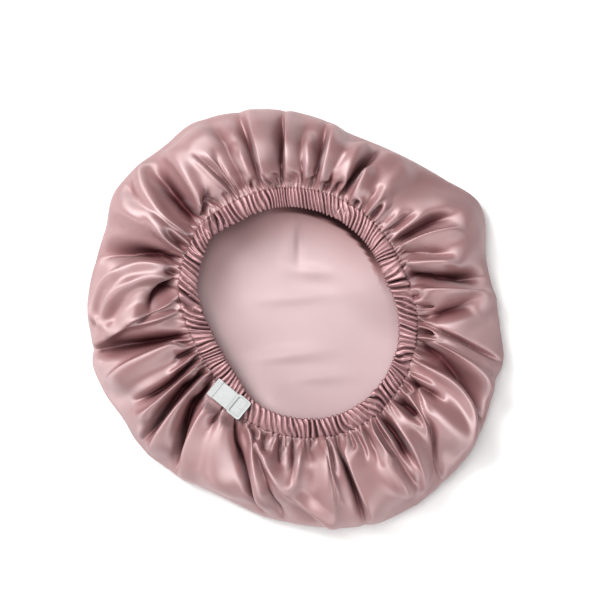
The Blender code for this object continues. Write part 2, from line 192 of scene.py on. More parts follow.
# The folds that run out from the band: bearings at the band, halfway and at the end, how much of
# the section they reach down, half width, height (a valley's is negative), how crisp their crest
# is, how far they lean over anticlockwise, as a share of their height, and how late they turn.
FOLD_COLUMNS = "band_deg midway_deg end_deg reach width_mm height_mm crisp lean late"
Fold = namedtuple("Fold", FOLD_COLUMNS, defaults=[0.0, 1.0])  # most stand straight and turn evenly
FOLDS = [
    Fold(2.6, 2.6, 2.6, 0.16, 1.2, -5, 0.8),
    Fold(5, 6.5, 8, 0.22, 3, 4, 0.1),
    Fold(12.5, 6.3, 3, 1.05, 4.2, 9, 0.6, 0.6),
    Fold(19, 12.4, 11.5, 0.75, 4.5, -11, 0.3),
    Fold(27.5, 21.5, 16, 0.42, 3.5, 7, 0.5, 0.4),
    Fold(31, 25, 20.5, 0.38, 3, -4, 0),
    Fold(34.5, 32, 25.5, 0.5, 2.5, 7, 0.9, 0.6),
    Fold(36, 35, 31.5, 0.5, 5, -8, 0.2),
    Fold(39, 38.5, 38, 0.35, 2.5, 2.5, 0),
    Fold(43.5, 42.5, 41.5, 0.3, 2.5, -4, 0),
    Fold(45.5, 45, 45, 0.25, 2, 2, 0),
    Fold(51.5, 51.3, 52.5, 0.26, 2, 4.5, 0.3),
    Fold(53.5, 53.5, 53.3, 0.2, 2, -4, 0.2),
    Fold(56.3, 56, 54.5, 0.28, 2, 5, 0.3),
    Fold(57, 54.5, 51.5, 0.75, 5, 4, 0),
    Fold(58.5, 58, 57.5, 0.3, 2.5, -4, 0.1),
    Fold(61.5, 61.5, 62.2, 0.15, 1.5, 3.5, 0.3),
    Fold(63, 63, 62.6, 0.12, 1.5, -4, 0.3),
    Fold(65, 65.7, 63.8, 0.42, 3, 6.5, 0.2, 0.4),
    Fold(71.5, 67.5, 62.5, 0.75, 3.5, -10, 0.3),
    Fold(72.3, 70.5, 66.5, 0.8, 3.5, 6, 0.2, -0.3),
    Fold(75.3, 74.5, 73.3, 0.22, 1.8, -5, 0.3),
    Fold(77, 75.5, 73.3, 0.42, 2.2, 5.5, 0.3),
    Fold(78, 76.3, 74, 0.42, 2, -7, 0.3),
    Fold(79.5, 79.3, 79, 0.14, 1.8, -5, 0.3),
    Fold(82.3, 79.9, 79.3, 1.05, 4, 8, 0.2, 0.5),
    Fold(84, 82.8, 82, 0.85, 3, -7, 0.2),
    Fold(84.8, 84.6, 84.4, 0.16, 1.5, 3.5, 0.3),
    Fold(85.6, 85.3, 85, 0.14, 1.8, -5, 0.3),
    Fold(88, 87.8, 87, 0.55, 3, 5.5, 0.2, 0.3),
    Fold(89.3, 89, 88, 0.6, 2.2, -5, 0.2),
    Fold(90.3, 90, 89.7, 0.2, 1.5, 3, 0.2),
    Fold(96.5, 94.5, 92, 1, 4, 7.5, 0.2, 0.7),
    Fold(98.5, 95.7, 93, 1, 3, -10, 0.8),
    Fold(99.3, 99.2, 99, 0.2, 1.8, 4.5, 0.3),
    Fold(100.6, 100.4, 100.2, 0.18, 1.5, -5, 0.3),
    Fold(101.6, 101.4, 101.2, 0.2, 1.6, 4, 0.3),
    Fold(103.2, 103.5, 103.8, 0.2, 2, -4.5, 0.2),
    Fold(104, 101.5, 100, 1, 8, 4, 0),
    Fold(105.5, 105, 104.5, 1.05, 4.5, 8, 0.2, 0.7),
    Fold(107, 107.2, 106.3, 1, 4, -9, 0.5),
    Fold(109.5, 111, 112.5, 0.4, 3, 5, 0.2),
    Fold(111.8, 111, 110.3, 0.14, 1.6, -5, 0.8),
    Fold(112.5, 112.3, 112, 0.15, 1.5, 3, 0.2),
    Fold(113.5, 114.8, 117.5, 1, 6, -6, 0),
    Fold(117.2, 117.2, 118.5, 0.4, 1.5, -6, 0.6),
    Fold(118, 118.6, 121.5, 0.42, 2.2, 6, 0.5, 0.4),
    Fold(119.2, 120.6, 124, 0.42, 1.5, -8, 0.7),
    Fold(119.8, 121.6, 125, 0.42, 1.5, 4.5, 0.5),
    Fold(122.5, 122.5, 122.5, 0.12, 1.5, -3, 0.3),
    Fold(124, 126, 128, 1, 7, 4, 0, 0.4),
    Fold(127, 128.5, 131.5, 0.15, 2.5, -6, 0.3),
    Fold(127.8, 129.5, 133, 0.16, 1.5, 5, 0.4),
    Fold(136, 129.8, 134.5, 0.85, 4.5, 6.5, 0, 0.3),
    Fold(138.5, 137.2, 136.4, 0.66, 5, -12, 0),
    Fold(137, 131.5, 126.5, 0.2, 2.2, -7, 0.2),
    Fold(148.5, 140.2, 136.5, 0.95, 4.5, 7.5, 0, -0.3),
    Fold(147, 144.5, 143, 0.85, 3, -5, 0),
    Fold(150.8, 149.5, 146.5, 0.24, 3, -9, 0),
    Fold(153.2, 150.5, 145, 0.34, 2.2, 6, 0.3),
    Fold(150, 149.5, 153, 1.05, 9, 7, 0, 0.5),
    Fold(155.5, 155.2, 156.5, 0.14, 1.5, 4, 0.3),
    Fold(156.5, 160.5, 168, 0.9, 5, -13, 0),
    Fold(158.5, 158.8, 158, 0.15, 1.5, 4, 0.3),
    Fold(160.5, 167.3, 196, 0.85, 3.5, 7.5, 0.2, -0.3),
    Fold(163.3, 163, 163.5, 0.15, 2, -5, 0.2),
    Fold(165, 174, 207, 0.8, 3.5, 6.5, 0.2),
    Fold(165.5, 172.5, 184, 0.3, 4.5, -10, 0.1),
    Fold(171.5, 187.5, 186.5, 0.95, 3, 8.5, 0.5, 0.5),
    Fold(178, 184.5, 172, 0.9, 2, 4, 0.4, 0.2),
    Fold(191.5, 190.5, 189.5, 1, 4.5, -14, 0.4),
    Fold(193.5, 197.5, 209, 0.95, 4.5, 8, 0.1, -0.6),
    Fold(195.6, 194.6, 194, 0.18, 2, -6, 0.3),
    Fold(197.2, 197.7, 198, 0.16, 1.4, 4.5, 0.4),
    Fold(199, 199.5, 200, 0.16, 2, -6, 0.3),
    Fold(200.5, 203.5, 206, 0.25, 1.8, 5, 0.5, -0.3),
    Fold(203, 208.6, 207.5, 0.55, 2.2, -11, 0.4),
    Fold(205, 211.3, 212, 0.62, 3, 8.5, 0.2, -0.45),
    Fold(210.8, 216.6, 219, 0.72, 2, -15, 0.4, 0, 1.2),
    Fold(213.6, 220.8, 222, 1, 4.4, 9, 0.3, -0.6, 1.5),
    Fold(217.8, 226.6, 233, 0.8, 2.3, -15, 0.3, 0, 1.3),
    Fold(222, 231, 235, 1, 4.6, 8.5, 0.3, -0.6, 1.4),
    Fold(228, 229, 230, 0.24, 2.2, 4.5, 0.2),
    Fold(229.5, 231.5, 233, 0.24, 1.8, -7, 0.4),
    Fold(233, 238, 246, 0.75, 9, 7, 0, -0.3),
    Fold(236.5, 252.5, 262, 0.85, 2.6, -10, 0.8),
    Fold(244, 256.5, 262, 0.9, 4, 5, 0.1, -0.4),
    Fold(246, 261.5, 266.5, 0.95, 2.2, -6, 0.5),
    Fold(238, 267.5, 284, 0.85, 3, 7.5, 0.5, -0.4),
    Fold(250.5, 252, 256, 0.22, 2.5, 3.5, 0.1),
    Fold(253.5, 254.2, 256.5, 0.2, 2, -4, 0.2),
    Fold(259.3, 258.2, 257.5, 0.3, 2, 5, 0.4),
    Fold(261, 261.5, 262.5, 0.25, 2.2, -5, 0.2),
    Fold(263, 262.5, 262, 0.12, 1.3, 3, 0.3),
    Fold(266.3, 267, 266.8, 0.32, 2, -6, 0.3),
    Fold(272, 268.8, 267, 0.42, 2.2, 6, 0.5),
    Fold(274.5, 274, 273, 0.4, 5, -3, 0),
    Fold(279.5, 279.2, 277.5, 0.88, 4.5, 8, 0.2, 0.4),
    Fold(280.8, 281, 282.5, 0.5, 1.5, 4, 0.3),
    Fold(281.8, 282, 281.5, 0.3, 1.5, -4, 0.2),
    Fold(285.4, 287, 286.3, 0.97, 2.2, -11, 0.9),
    Fold(286.8, 288.8, 292, 0.95, 4.5, 7, 0.2, -0.8),
    Fold(290, 290.5, 291, 0.18, 1.6, 3, 0.2),
    Fold(291.5, 291.8, 292, 0.16, 1.3, -3.5, 0.2),
    Fold(293, 293, 293, 0.22, 1.6, 3, 0.2),
    Fold(294.3, 295, 294.3, 0.25, 1.5, -4, 0.2),
    Fold(296, 296, 295, 0.25, 1.6, 3.5, 0.2),
    Fold(298.5, 298.5, 298, 0.3, 2.2, -6, 0.3),
    Fold(299.5, 300.2, 302, 0.75, 3, 5, 0),
    Fold(303, 301.5, 303, 0.33, 1.8, 5.5, 0.4, 0.4),
    Fold(303.9, 303.6, 303.5, 0.6, 1.8, -5, 0),
    Fold(305.5, 305.5, 305, 0.3, 1.5, 4, 0.3),
    Fold(307.5, 307.5, 306, 0.42, 3.2, -11, 0.2),
    Fold(311.8, 306.8, 298.5, 0.95, 3, 8, 0.3, -0.4),
    Fold(315, 315.3, 317, 0.3, 1.6, 4.5, 0.3, 0.2),
    Fold(318, 318.5, 318, 0.24, 3, -10, 0.1),
    Fold(322.5, 321, 316, 0.33, 2.2, 6.5, 0.3, -0.3),
    Fold(325, 324.5, 324, 0.12, 2.5, -6, 0.3),
    Fold(326, 322, 320, 0.95, 7, 5, 0),
    Fold(328, 328.3, 328, 0.32, 2.5, -8, 0.1),
    Fold(331, 313.5, 309.5, 1, 1.8, -6.5, 0.9),
    Fold(330.5, 330.5, 331, 0.22, 1.6, 4, 0.3),
    Fold(336.5, 335.5, 317, 0.66, 3.2, 7.5, 0.2, 0.2, 2),
    Fold(345.5, 335.5, 323, 0.88, 6, -13, 0),
    Fold(340.5, 340, 339.5, 0.1, 1.6, 4, 0.3),
    Fold(348.5, 341.2, 335.5, 1, 5, 9, 0.1, 0.4),
    Fold(348, 348.3, 349.5, 0.2, 1.6, 4, 0.3),
    Fold(350.8, 351, 350.8, 0.15, 2, -7, 0.2),
    Fold(353, 353, 350, 0.2, 1.8, 6, 0.3),
    Fold(356, 347.7, 345.8, 1, 1.8, -6, 0.9),
    Fold(355.8, 355.8, 355.5, 0.16, 1.5, 3.5, 0.2),
    Fold(357, 361, 363, 0.6, 5, -8, 0.1),
    Fold(358.5, 358.5, 358.5, 0.14, 1.5, 3.5, 0.2),
]

# The band's ruches: how far apart they are, how they slant across the band and how deep they are.
Ruche = namedtuple("Ruche", "bearing_deg pitch_deg slant_mm depth_mm")
RUCHES = [
    Ruche(4, 3.2, 4, 2.6),
    Ruche(14, 4.5, 2, 2.6),
    Ruche(24, 3.4, -1.5, 2.4),
    Ruche(36, 2, 0.5, 1.6),
    Ruche(48, 2, -1, 1.6),
    Ruche(58, 2.4, -3, 2),
    Ruche(68, 2.6, -4.5, 2.2),
    Ruche(80, 2, -3, 2.4),
    Ruche(92, 1.6, -0.5, 2),
    Ruche(102, 1.5, 0, 1.8),
    Ruche(112, 2.4, 0, 2),
    Ruche(122, 2.6, -1, 2.6),
    Ruche(134, 2.6, 4.5, 2.8),
    Ruche(148, 3.2, 2, 2.6),
    Ruche(158, 2.4, 2.5, 2.4),
    Ruche(168, 4, 5, 3),
    Ruche(178, 4.6, 4.5, 3.2),
    Ruche(190, 3.2, 1.5, 2.6),
    Ruche(204, 2, 0.5, 2),
    Ruche(218, 2.4, -1, 2.2),
    Ruche(236, 3, -1, 2.4),
    Ruche(252, 3.4, -3.5, 2.6),
    Ruche(266, 2.6, -2, 2.4),
    Ruche(280, 2.8, -0.5, 2.6),
    Ruche(292, 2.8, -2, 2.4),
    Ruche(304, 2.8, -4.5, 2.6),
    Ruche(316, 3.2, 1, 2.8),
    Ruche(326, 2, 2.5, 2.4),
    Ruche(338, 3.2, -3, 2.8),
    Ruche(350, 2.6, 0.5, 2.6),
]

# Places where the band is twisted or kinked up.
Kink = namedtuple("Kink", "bearing_deg spread_deg lift_mm roll_deg")
KINKS = [
    Kink(135, 4, 2.5, 24),
    Kink(142, 4, 1.5, -18),
    Kink(172, 4, 1.5, 16),
    Kink(183, 4.5, 3, -22),
    Kink(20, 5, 1, 10),
    Kink(309, 4, 1.2, -12),
    Kink(349, 5, 1, 12),
]

# The lining's creases: middle, bearing, half length, half width and height.
Crease = namedtuple("Crease", "x_mm y_mm bearing_deg length_mm width_mm height_mm")
LINING_CREASES = [
    Crease(12, 37, -5, 15, 5, 3),
    Crease(-5, 60, 84, 18, 6, 2.6),
    Crease(3.8, 60, 88, 16, 3.5, -2.6),
    Crease(0, 17, 5, 26, 5, 2),
    Crease(-8, -28, 6, 26, 5.5, 2.6),
    Crease(14, -45, 2, 22, 5, 2),
    Crease(52, 20, -52, 24, 9, 1.8),
]

# How high the lining's floor rises towards the band.
Swell = namedtuple("Swell", "bearing_deg height_mm")
LINING_SWELLS = [
    Swell(10, 12),
    Swell(45, 16),
    Swell(75, 18),
    Swell(105, 16),
    Swell(135, 6),
    Swell(165, 9),
    Swell(195, 9),
    Swell(225, 7),
    Swell(255, 13),
    Swell(300, 1),
    Swell(340, 1),
]
SWELL_REACH = 24 * MM  # how far in from the band's inner edge
SAG = 17 * MM  # how far the lining hangs clear of the crown's folds
SOFTNESS = 0.35 * MM  # the lining's unevenness on the floor, whose waves run along x and y
SOFT_CALMED = 3  # how much gentler than one its waves are
SOFT_DEG_A_METRE = 900
SOFT_TURN_A_METRE = 40

# Painted shade on the lining: how dark, and where that starts and is full, past the band's inner
# edge (inside the opening is negative). A narrow dark painted shadow lies under the far side of the
# band, and a wider, softer painted shade lies where the band shades the lining.
Shade = namedtuple("Shade", "bearing_deg spread_deg depth start_mm full_mm")
LINING_SHADES = [
    Shade(66, 42, 0.95, -4.4, -2.6),
    Shade(97, 65, 0.33, -34, -2),
]

# How a fold changes along its run: its height for each mm in the table, its width at the band and
# how that widens, the share of its height at the band, and the power by which its sides fall away,
# less how much for a crisp one.
FoldKind = namedtuple("FoldKind", "height width widening start steep crispness")
RIDGE = FoldKind(1.3, 0.9, 0.9, 0.45, 2.3, 0.6)
VALLEY = FoldKind(1.6, 0.62, 0.6, 0.70, 1.5, 0.3)
CREST_ROUNDING = 0.02
TALLEST_FOLD = 13 * MM
FLATTENED = 0.88  # how much of a fold's height is gone near the outline
# How far out the folds lie, to turn bearings into widths: at the band, and further at the outline.
FOLD_RADIUS_MM = 92
FOLD_SPREAD_MM = 62
OUTLINE_SHARE = 0.75  # of the section, where it is furthest out
SECTION_LENGTH_MM = 140  # from the band to the floor, along the section
PATH_STEP = 0.01  # of the section, to see which way a fold runs

# Where things come in or go out on the way from the band (0) to the floor (1) and its middle (2).
SEAM_ENDS = (0.0, 0.10)
FOLDS_BEGIN = (-0.02, 0.05)
FOLDS_LEAN = (0.0, 0.20)
FOLDS_FLATTEN = (0.48, 0.76)
CRUMPLES_BEGIN = (0.05, 0.45)
CRUMPLES_END = (0.58, 0.80)
# where the crown's painted shade in its folds begins, weakens and ends
DARK_BEGINS = (-0.03, 0.02)
DARK_WEAKENS = (0.25, 0.60)
DARK_ENDS = (0.75, 0.95)
LINING_PLEATS_BEGIN = (0.02, 0.20)
LINING_PLEATS_END = (0.60, 0.95)
SAG_BEGINS = (-0.20, 0.06)
SAG_ENDS = (0.30, 0.60)
SWELL_BEGINS = (0.80, 1.10)
CREASES_BEGIN = (0.90, 1.15)
STRAP_PRESSES = 0.5  # only the cloth up to here
FLOOR_CLOSES = 0.9999  # of the floor's radius: what is left is welded shut
# And along a fold's own run.
FOLD_SWELLS = (0.0, 0.25)
FOLD_FADES = (0.65, 1.0)
FOLD_PATH_END = 1.2  # its path is followed this far

# How deep a fold or a pleat lies where its painted shade is darkest, and how that painted shade deepens.
FOLD_SHADE_DEPTH = 12 * MM
PLEAT_SHADE_DEPTH = 3 * MM
PAINTED_SHADE_POWER = 1.5
DARK_LOST = 0.55  # how much of that is lost further out on the crown

# Smooth random fields: how many waves, between which numbers of them go round the bonnet, and by
# how many radians they turn over along the section.
Waves = namedtuple("Waves", "seed count rounds along")
PLEAT_WANDER = Waves(5, 10, (3, 14), (2, 9))
WIDE_CRUMPLES = Waves(21, 30, (3, 20), (3, 13))
SMALL_CRUMPLES = Waves(22, 30, (16, 44), (8, 30))
LINING_PLEATS = Waves(31, 20, (18, 70), (1, 5))
LINING_SOFT = Waves(41, 16, (1, 3), (1, 3))
RUCHE_WANDER = Waves(51, 18, (8, 30), (0.6, 2.2))
FINE_RUCHES = Waves(53, 30, (60, 200), (1, 5))
WIDE_CRUMPLE_MM = 2.3
SMALL_CRUMPLE_MM = 0.22
LINING_PLEAT = 1.1 * MM
WANDER_SHARE = 0.15  # of a ruche
FINE_RUCHE_MM = 0.07

# The pleats that the ruches send out, and the ruches: a random number for each of them.
Spread = namedtuple("Spread", "seed low high")
PLEAT_REACHES = Spread(8, 0.03, 0.11)
PLEAT_SIZES_MM = Spread(9, 1.8, 4.2)
RUCHE_DEPTHS = Spread(52, 0.5, 2.1)
RUCHE_SPLITS = Spread(54, -0.5, 0.9)
SPLIT_SIDES = Spread(55, -1, 1)
PLEAT_DRIFT_DEG = 1.2  # at this share of the section, and up to twice that further on
PLEAT_DRIFT_SHARE = 0.2
PLEAT_ROUND = 0.7
PLEAT_LEVEL = 0.8  # of a pleat's height, which lies on the crown's plain section
PLEAT_FADE = 1.6

# The band's casing: how far its sides and top lie inside the band, how square its section is, and
# the ruches on it.
CASING_SIDE = 0.7 * MM
CASING_TOP = 0.5 * MM
CASING_SEAT = 0.2 * MM  # how far it sits down into the cloth under it
SIDE_SQUARE = 0.75
TOP_SQUARE = 0.85
TOP_RISE = 1.1 * MM
TOP_BEGINS = (-0.7, 0.2)  # from -1 underneath to 1 on top
RUCHE_ROUND = 0.5
RUCHE_LEVEL = 0.78
SPLIT_WIDTH = 0.17  # of a ruche
SPLIT_ACROSS = (-0.6, 0.8)
SPLIT_PITCH_DEG = (1.6, 2.8)  # ruches this close together don't split, and ones this wide do
KINK_HUMP = 0.6
# painted shade in the grooves between the ruches, and how fast it fades up a ruche
RUCHE_PAINTED_SHADE = 1.15
RUCHE_PAINTED_SHADE_FADES = 1.6

# Mesh density. The rows are at shares of the way from the hem (-1) to the floor's middle (2).
CROWN_COLUMNS = 960
CROWN_ROWS = [-1, -0.5, *np.linspace(0, 0.12, 13), *np.linspace(0.12, 1, 66)[1:], 1.2, 2]
LINING_COLUMNS = 360
LINING_ROWS = [-1, *np.linspace(0, 1, 41), *np.linspace(1, 2, 61)[1:]]
BAND_COLUMNS = 1800
BAND_TURNS = 42  # points round the band's section
WELD_DISTANCE = 0.005 * MM
# The radius of each disc of cloth laid flat, at its rim and where it comes down to the floor.
CROWN_DISC_MM = (255, 145)
LINING_DISC_MM = (175, 95)

# Colours. The _PAINTED_SHADE, _PAINTED_SHADOW and _SHADED ones are painted shade, for cloth deep in
# creases, between ruches and under the band.
ROSE = (0.365, 0.21, 0.214)
ROSE_PAINTED_SHADE = (0.14, 0.055, 0.06)
RUCHED_ROSE = (0.385, 0.24, 0.248)
RUCHED_ROSE_PAINTED_SHADE = (0.05, 0.02, 0.022)
PALE_ROSE = (0.515, 0.397, 0.404)
PALE_ROSE_SHADED = (0.33, 0.19, 0.19)
PALE_ROSE_PAINTED_SHADOW = (0.04, 0.015, 0.018)
ELASTIC_WHITE = (0.46, 0.47, 0.465)
PLASTIC_WHITE = (0.40, 0.41, 0.405)
FLOOR_WHITE = (0.93, 0.93, 0.93)
OPEN_SHINE = 0.5
# the shine where the painted shade is full
SHADED_SHINE = 0.05
NOISE_LOW, NOISE_HIGH = 0.3, 0.7  # most of a noise lies between these

# Soft light, strongest from the upper left. Sizes are in metres.
Light = namedtuple("Light", "name bearing_deg elevation_deg size power_w")
LIGHTS = [
    Light("key", 134, 52, 0.8, 26),
    Light("left", 205, 30, 0.9, 10),
    Light("fill", 310, 30, 0.9, 13),
    Light("overhead", 110, 82, 1.0, 16),
]
LIGHT_DISTANCE = 2.0
SURROUNDINGS = 0.03
FLOOR_SIZE = 4.0
CLIP_END = 20


def named(row_table, column):
    return np.array([getattr(row, column) for row in row_table], float)


def smooth_between(t, step, start, stop, start_slope, stop_slope):
    """A smooth curve from start to stop, step apart, as t runs from 0 to 1, with slopes at its ends."""
    return (
        (1 + 2 * t) * (1 - t) ** 2 * start
        + t * (1 - t) ** 2 * step * start_slope
        + t * t * (3 - 2 * t) * stop
        - t * t * (1 - t) * step * stop_slope
    )


def around(row_table, column, bearing):
    """A column of a table at any bearing: a smooth closed curve through every row."""
    at, value = named(row_table, "bearing_deg"), named(row_table, column)
    at = np.concatenate([at[-2:] - 360, at, at[:2] + 360])
    value = np.concatenate([value[-2:], value, value[:2]])
    slope = (value[2:] - value[:-2]) / (at[2:] - at[:-2])
    at, value = at[1:-1], value[1:-1]
    bearing = at[0] + (np.asarray(bearing, float) - at[0]) % 360
    i = np.clip(np.searchsorted(at, bearing, side="right") - 1, 0, len(at) - 2)
    step = at[i + 1] - at[i]
    t = (bearing - at[i]) / step
    return smooth_between(t, step, value[i], value[i + 1], slope[i], slope[i + 1])


def along_section(section, share):
    """(out, height) at a share of the section's length, on a smooth curve through its stations."""
    points = np.array(section, float)
    length = np.concatenate([[0], np.cumsum(np.hypot(*np.diff(points, axis=0).T))])
    length /= length[-1]
    slope = np.gradient(points, length, axis=0)
    share = np.clip(share, 0, 1)
    i = np.clip(np.searchsorted(length, share, side="right") - 1, 0, len(length) - 2)
    step = (length[i + 1] - length[i])[..., None]
    t = ((share - length[i])[..., None]) / step
    found = smooth_between(t, step, points[i], points[i + 1], slope[i], slope[i + 1])
    return found[..., 0], found[..., 1]


def smooth_step(span, value):
    """0 up to the start of the span, 1 from its end on, and smooth between."""
    low, high = span
    t = np.clip((value - low) / (high - low), 0, 1)
    return t * t * (3 - 2 * t)


def turn_from(centre, bearing):
    """How many degrees a bearing lies past another one, from -180 to 180."""
    return (bearing - centre + 180) % 360 - 180


def ripple(bearing, share, waves):
    """A smooth random field of unit size that closes round the bonnet: a sum of waves."""
    rng = np.random.default_rng(waves.seed)
    field = np.zeros(np.broadcast(bearing, share).shape)
    for _ in range(waves.count):
        turn = rng.integers(*waves.rounds) * rng.choice([-1, 1])
        along = rng.uniform(*waves.along)
        field += np.cos(np.radians(bearing) * turn + share * along + rng.uniform(0, 2 * math.pi))
    return field / math.sqrt(waves.count / 2)


def band_middle(bearing):
    return around(BAND_LINE, "radius_mm", bearing) * MM


def band_half_width(bearing):
    return around(BAND_LINE, "width_mm", bearing) * MM / 2


def band_inner_edge(bearing):
    return band_middle(bearing) - band_half_width(bearing)


def band_underside(bearing):
    return BAND_HEIGHT + around(BAND_LINE, "rise_mm", bearing) * MM


def ruche_count():
    """How many ruches there are from bearing 0 to every tenth of a degree round the band."""
    at = np.arange(0, 3601) / 10
    count = np.concatenate([[0], np.cumsum(0.1 / around(RUCHES, "pitch_deg", at[:-1] + 0.05))])
    return at, count * round(count[-1]) / count[-1]


RUCHES_AT, RUCHES_SO_FAR = ruche_count()


def ruche_at(bearing, across):
    """How many ruches lie before this place. across runs from -1 at the band's inner edge to 1."""
    slant = np.degrees(around(RUCHES, "slant_mm", bearing) * across * MM / band_middle(bearing))
    wander = ripple(bearing, across, RUCHE_WANDER)
    return np.interp((bearing + slant) % 360, RUCHES_AT, RUCHES_SO_FAR) + WANDER_SHARE * wander


def each_ruche(phase, spread):
    """A random number for each ruche, which changes smoothly to its neighbour's."""
    total = int(RUCHES_SO_FAR[-1])
    sizes = np.random.default_rng(spread.seed).uniform(spread.low, spread.high, total)
    index = np.floor(phase).astype(int)
    t = phase - index
    return sizes[index % total] * (1 - t) + sizes[(index + 1) % total] * t


def hump(phase):
    """0 in the groove between two ruches and 1 on top of a ruche."""
    return np.abs(np.sin(math.pi * phase))


def fold_path(fold, share):
    """The bearing at which a fold's crest lies: a smooth curve through its three bearings."""
    run = np.clip(share / fold.reach, 0, FOLD_PATH_END) ** fold.late
    middle = 0.5**fold.late
    from_band = (run - middle) * (run - 1) / middle
    midway = run * (run - 1) / (middle * (middle - 1))
    from_end = run * (run - middle) / (1 - middle)
    return fold.band_deg * from_band + fold.midway_deg * midway + fold.end_deg * from_end


def fold_relief(bearing, share):
    """How far the folds lift the crown off its plain section, and how far they lean sideways.
    The table says where a fold shows, so before it leans over it lies back by as much. They
    flatten towards the outline, where the cloth is stretched over the puff, and together they
    never lift it by more than TALLEST_FOLD."""
    lift = np.zeros(np.broadcast(bearing, share).shape)
    sideways = np.zeros(lift.shape)
    radius_mm = FOLD_RADIUS_MM + FOLD_SPREAD_MM * np.clip(share / OUTLINE_SHARE, 0, 1)
    flatten = (1 - FLATTENED * smooth_step(FOLDS_FLATTEN, share)) * smooth_step(FOLDS_BEGIN, share)
    for fold in FOLDS:
        kind = RIDGE if fold.height_mm > 0 else VALLEY
        run = share / fold.reach
        centre = fold_path(fold, share)
        width = fold.width_mm * (kind.width + kind.widening * run)
        swell = kind.start + (1 - kind.start) * smooth_step(FOLD_SWELLS, run)
        fade = 1 - smooth_step(FOLD_FADES, run)
        full_mm = kind.height * fold.height_mm * swell * fade * flatten
        lean = fold.lean * smooth_step(FOLDS_LEAN, share)
        turn_deg = (fold_path(fold, share + PATH_STEP) - centre) / PATH_STEP
        aslant = np.radians(turn_deg) * radius_mm / SECTION_LENGTH_MM
        off_mm = np.radians(turn_from(centre, bearing)) * radius_mm
        off_mm = off_mm / np.hypot(1, aslant) + lean * full_mm
        steep = kind.steep - kind.crispness * fold.crisp
        fold_lift = full_mm * MM * np.exp(-(((off_mm / width) ** 2 + CREST_ROUNDING) ** (steep / 2)))
        lift += fold_lift
        sideways += lean * fold_lift
    return np.where(lift > 0, TALLEST_FOLD * np.tanh(lift / TALLEST_FOLD), lift), sideways


def gather_relief(bearing, share):
    """The pleats that the ruches send out into the crown. They run out a little way and merge."""
    drift = PLEAT_DRIFT_DEG * ripple(bearing, share, PLEAT_WANDER)
    drift = drift * np.clip(share, 0, 2 * PLEAT_DRIFT_SHARE) / PLEAT_DRIFT_SHARE
    phase = ruche_at(bearing + drift, 1.0)
    reach = each_ruche(phase, PLEAT_REACHES)
    size = each_ruche(phase, PLEAT_SIZES_MM) * MM
    pleat = hump(phase) ** PLEAT_ROUND - PLEAT_LEVEL
    return size * pleat * np.exp(-((share / reach) ** PLEAT_FADE))


def crumple(bearing, share):
    """Soft unevenness of the puffed cloth."""
    wide = ripple(bearing, share, WIDE_CRUMPLES)
    small = ripple(bearing, share, SMALL_CRUMPLES)
    return (WIDE_CRUMPLE_MM * wide + SMALL_CRUMPLE_MM * small) * MM * smooth_step(CRUMPLES_BEGIN, share)


def crown_relief(bearing, share):
    lift, sideways = fold_relief(bearing, share)
    lift = lift + gather_relief(bearing, share)
    return lift + crumple(bearing, share) * (1 - smooth_step(CRUMPLES_END, share)), sideways


def at_bearing(bearing, radius, height):
    """Points at these bearings round the middle of the opening."""
    turn = np.radians(bearing)
    x = OPENING_CENTRE[0] + radius * np.cos(turn)
    y = OPENING_CENTRE[1] + radius * np.sin(turn)
    return np.stack([x, y, np.broadcast_to(height, x.shape)], axis=-1)


def past_inner_edge(points, bearing):
    """How far out points lie past the band's inner edge, seen from above."""
    x, y = points[..., 0] - OPENING_CENTRE[0], points[..., 1] - OPENING_CENTRE[1]
    return np.hypot(x, y) - band_inner_edge(bearing)


def under_strap(points):
    """1 under the strap and slider, falling to 0 beside them."""
    turn = math.radians(STRAP_BEARING)
    x, y = points[..., 0] - STRAP_MIDDLE[0], points[..., 1] - STRAP_MIDDLE[1]
    along = np.abs(x * math.cos(turn) + y * math.sin(turn)) - STRAP_LENGTH / 2
    across = np.abs(y * math.cos(turn) - x * math.sin(turn)) - SLIDER_WIDTH / 2
    outside = np.hypot(np.maximum(along, 0), np.maximum(across, 0))
    return 1 - smooth_step(PRESSED_BY_STRAP, outside)


def cloth_on_section(bearing, share, section, floor, hem_height, seam_height, relief):
    """A bag of cloth's middle surface. share runs from -1 at its hem under the band to 0 at the
    seam beside the band, 1 where it meets the floor and 2 at the middle of the floor."""
    edge = band_middle(bearing) + band_half_width(bearing) - SEWN_UNDER
    outline = around(OUTLINE, "reach_mm", bearing) * MM
    crest = around(OUTLINE, "crest_mm", bearing) * MM
    out, height = along_section(section, share)
    nudge = 1e-3
    out_next, height_next = along_section(section, np.clip(share, 0, 1 - nudge) + nudge)
    out_here, height_here = along_section(section, np.clip(share, 0, 1 - nudge))
    run, rise = (out_next - out_here) * (outline - edge), (height_next - height_here) * crest
    steep = np.hypot(run, rise)
    radius = edge + out * (outline - edge)
    body = floor + height * (crest - floor)
    body = seam_height + (body - seam_height) * smooth_step(SEAM_ENDS, share)
    lift, sideways = relief(bearing, np.clip(share, 0, 1))
    lift = np.where((share >= 0) & (share < 1), lift, 0)
    sideways = np.where((share >= 0) & (share < 1), sideways, 0)
    radius = radius + np.minimum(share, 0) * HEM_WIDTH
    radius = radius * (1 - np.clip(share - 1, 0, FLOOR_CLOSES))
    radius = radius - lift * rise / steep
    height = np.where(share >= 0, body, hem_height) + lift * run / steep
    return at_bearing(bearing + np.degrees(sideways / radius), radius, np.maximum(height, floor))


def crown_surface(bearing, share):
    hem = band_underside(bearing) - LAYER_GAP - CROWN_WALL / 2
    seam = band_underside(bearing) + SEAM_RISE
    points = cloth_on_section(bearing, share, CROWN_SECTION, CROWN_WALL / 2, hem, seam, crown_relief)
    pressed = np.minimum(points[..., 2], hem)
    points[..., 2] += (pressed - points[..., 2]) * under_strap(points) * (share < STRAP_PRESSES)
    return points


